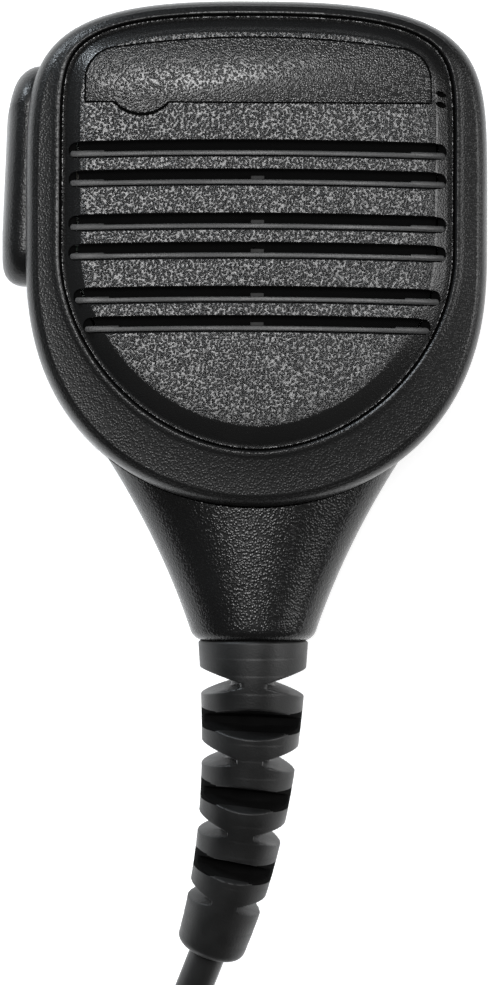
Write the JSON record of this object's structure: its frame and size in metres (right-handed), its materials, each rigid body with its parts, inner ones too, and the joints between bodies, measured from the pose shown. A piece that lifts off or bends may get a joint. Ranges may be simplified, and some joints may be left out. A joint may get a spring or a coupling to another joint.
{
  "type": "hand microphone",
  "caption": "Hand-held speaker microphone with louvred grille, side push-to-talk button, swivel belt clip, notched strain relief, curly cord and two-pin plug.",
  "frame": {"origin": "under the middle of the box round the body, neck, button and clip, on the surface it lies on", "axes": "+X to the right seen from the front, +Y from the neck towards the top of the body, +Z out of the grille"},
  "size_m": [0.0652, 0.3077, 0.038],
  "materials": {
    "shell": "fine moulded grain",
    "panel": "coarse pebble grain with smooth edges",
    "label": "fine grain",
    "key": "fine moulded grain",
    "relief": "smooth satin",
    "cord": "satin",
    "soft_rubber": "matte",
    "cloth": "fine woven",
    "foam": "foam",
    "tie": "hook and loop",
    "clip_plastic": "satin",
    "plug_plastic": "satin",
    "steel": "zinc plated",
    "brass": "turned",
    "gold": "gold plated",
    "nylon": "natural nylon",
    "board": "solder mask",
    "component": "moulded",
    "cone": "treated paper",
    "wire": "vinyl insulation"
  },
  "bodies": {
    "housing": {"front_housing": "shell", "grille_panel": "panel", "name_plate": "label", "grille_cloth": "cloth", "speaker_gasket": "foam", "speaker_frame": "steel", "speaker_cone": "cone", "speaker_magnet": "steel", "mic_capsule": "steel", "mic_boot": "soft_rubber", "circuit_board": "board", "board_components": "component", "ptt_seal": "soft_rubber", "ptt_switch": "component", "ear_jack_socket": "component", "housing_seal": "soft_rubber", "back_housing": "shell", "housing_screws": "steel", "threaded_inserts": "brass", "cord_clamp": "steel", "clamp_screws": "steel", "inner_cord": "cord", "wires": "wire", "swivel_washer": "nylon", "swivel_screw": "steel", "swivel_insert": "brass", "strain_relief": "relief", "cord_tail": "cord", "cord_curly": "cord", "cord_lead": "cord", "cord_tie": "tie", "plug_relief": "relief", "plug_body": "plug_plastic", "plug_pin_large": "gold", "plug_pin_small": "gold"},
    "button": {"ptt_button": "key", "switch_plunger": "nylon"},
    "dust_cap": {"jack_dust_cap": "soft_rubber"},
    "clip": {"clip_base": "clip_plastic", "clip_pin": "steel", "clip_spring": "steel"},
    "lever": {"clip_lever": "clip_plastic"}
  },
  "joints": [
    {"name": "ptt_press", "type": "slide", "parent": "housing", "child": "button", "axis": [1, 0, 0], "range_m": [0, 0.0012], "stiffness_N_per_m": 1000, "springref_m": -0.002},
    {"name": "dust_cap_open", "type": "hinge", "parent": "housing", "child": "dust_cap", "pos_m": [0.0321, 0.015, 0.0157], "axis": [0, 1, 0], "range_deg": [0, 100], "stiffness_Nm_per_rad": 0.0004, "springref_deg": -11.46},
    {"name": "clip_swivel", "type": "hinge", "parent": "housing", "child": "clip", "pos_m": [0.0016, 0.011, 0.01], "axis": [0, 0, 1], "continuous": true},
    {"name": "clip_open", "type": "hinge", "parent": "clip", "child": "lever", "pos_m": [0.0016, 0.023, 0.0062], "axis": [1, 0, 0], "range_deg": [0, 22], "stiffness_Nm_per_rad": 0.25, "springref_deg": -22.92, "deforming": ["clip_spring"]}
  ]
}
